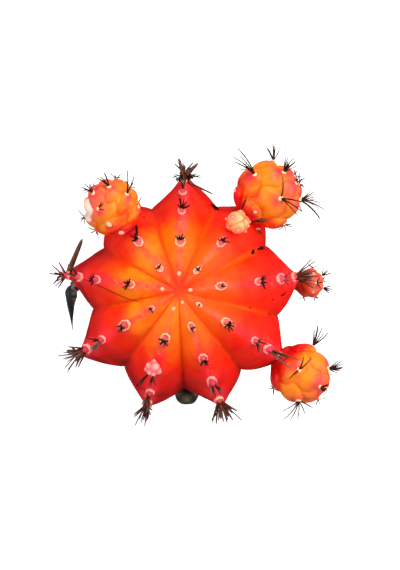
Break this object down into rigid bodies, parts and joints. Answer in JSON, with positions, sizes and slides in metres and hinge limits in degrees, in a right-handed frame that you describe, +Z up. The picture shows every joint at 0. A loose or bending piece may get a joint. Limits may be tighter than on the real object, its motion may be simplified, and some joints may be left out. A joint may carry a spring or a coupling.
{
  "type": "potted moon cactus",
  "caption": "Grafted moon cactus: a ribbed red-orange head with spined offsets on a winged green rootstock, standing in soil in a small black nursery pot.",
  "frame": {"origin": "centre of the underside of the pot, on the surface that it stands on", "axes": "+Z up, from the pot to the cactus head; seen from above, +X points to the small offset on the right and +Y to the pair of large offsets at the top"},
  "size_m": [0.0841, 0.077, 0.1352],
  "materials": {
    "pot_plastic": "satin",
    "soil": "matte",
    "rootstock_skin": "satin",
    "head_flesh": "satin",
    "offset_flesh": "satin",
    "young_flesh": "satin",
    "dried_flesh": "matte",
    "dry_flower": "satin",
    "spine": "satin",
    "wool": "matte"
  },
  "bodies": {
    "root": {"pot": "pot_plastic", "soil": "soil", "rootstock": "rootstock_skin", "head": "head_flesh", "offset_upper_right": "offset_flesh", "offset_upper_left": "offset_flesh", "offset_lower_right": "offset_flesh", "offset_small_upper_right": "young_flesh", "offset_small_right": "offset_flesh", "bud_lower_left": "young_flesh", "stunted_offset": "dried_flesh", "withered_flower": "dry_flower"}
  },
  "joints": []
}
